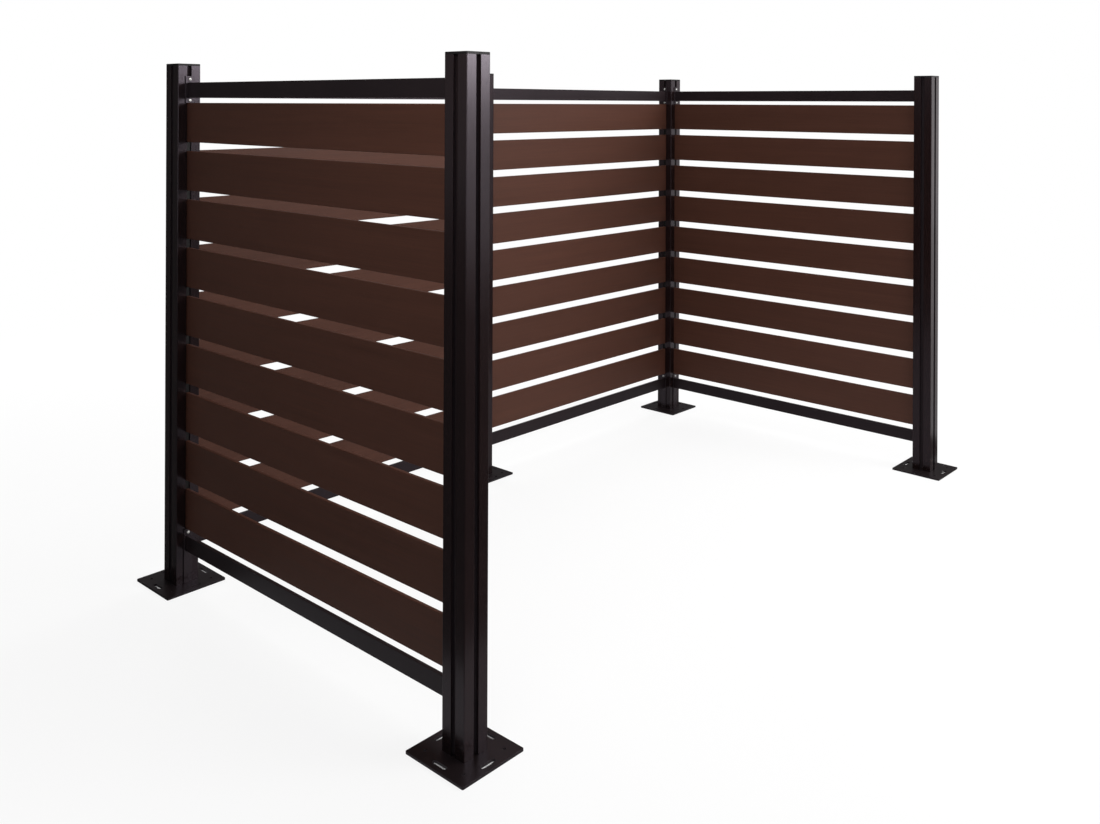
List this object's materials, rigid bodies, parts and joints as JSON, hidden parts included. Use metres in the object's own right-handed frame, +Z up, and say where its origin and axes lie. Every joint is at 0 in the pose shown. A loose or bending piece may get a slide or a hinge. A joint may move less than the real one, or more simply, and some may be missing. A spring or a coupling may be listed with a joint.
{
  "type": "bin screen",
  "caption": "U-shaped slatted screen that hides wheeled bins: grooved posts on screw-down base plates hold brown slats between dark metal rails, open at the front.",
  "frame": {"origin": "on the ground, in the middle of the screen's outline, which includes the base plates", "axes": "+X to the right along the back panels, +Y from the open front to the back, +Z up"},
  "size_m": [2.236, 1.196, 1.3],
  "materials": {
    "post_coat": "satin dark bronze powder coat on extruded aluminium",
    "plate_coat": "satin dark bronze powder coat on steel plate",
    "rail_coat": "satin black-brown powder coat on aluminium tube",
    "bracket_coat": "satin dark bronze powder coat on aluminium",
    "slat_board": "matte dark brown wood-plastic composite with a faint grain",
    "spacer_plastic": "matte dark plastic",
    "cap_plastic": "satin dark plastic",
    "screw_steel": "bare stainless steel"
  },
  "bodies": {
    "root": {"post_front_left": "post_coat", "base_plate_front_left": "plate_coat", "post_rear_left": "post_coat", "base_plate_rear_left": "plate_coat", "post_rear_middle": "post_coat", "base_plate_rear_middle": "plate_coat", "post_rear_right": "post_coat", "base_plate_rear_right": "plate_coat", "post_front_right": "post_coat", "base_plate_front_right": "plate_coat", "bottom_rail_left": "rail_coat", "slat_left_1": "slat_board", "slat_left_2": "slat_board", "slat_left_3": "slat_board", "slat_left_4": "slat_board", "slat_left_5": "slat_board", "slat_left_6": "slat_board", "slat_left_7": "slat_board", "slat_left_8": "slat_board", "slat_left_9": "slat_board", "top_rail_left": "rail_coat", "bottom_rail_back_left": "rail_coat", "slat_back_left_1": "slat_board", "slat_back_left_2": "slat_board", "slat_back_left_3": "slat_board", "slat_back_left_4": "slat_board", "slat_back_left_5": "slat_board", "slat_back_left_6": "slat_board", "slat_back_left_7": "slat_board", "slat_back_left_8": "slat_board", "slat_back_left_9": "slat_board", "top_rail_back_left": "rail_coat", "bottom_rail_back_right": "rail_coat", "slat_back_right_1": "slat_board", "slat_back_right_2": "slat_board", "slat_back_right_3": "slat_board", "slat_back_right_4": "slat_board", "slat_back_right_5": "slat_board", "slat_back_right_6": "slat_board", "slat_back_right_7": "slat_board", "slat_back_right_8": "slat_board", "slat_back_right_9": "slat_board", "top_rail_back_right": "rail_coat", "bottom_rail_right": "rail_coat", "slat_right_1": "slat_board", "slat_right_2": "slat_board", "slat_right_3": "slat_board", "slat_right_4": "slat_board", "slat_right_5": "slat_board", "slat_right_6": "slat_board", "slat_right_7": "slat_board", "slat_right_8": "slat_board", "slat_right_9": "slat_board", "top_rail_right": "rail_coat", "post_caps": "cap_plastic", "top_brackets": "bracket_coat", "bottom_brackets": "bracket_coat", "slat_spacers": "spacer_plastic", "bracket_screws": "screw_steel", "plate_screws": "screw_steel"}
  },
  "joints": []
}
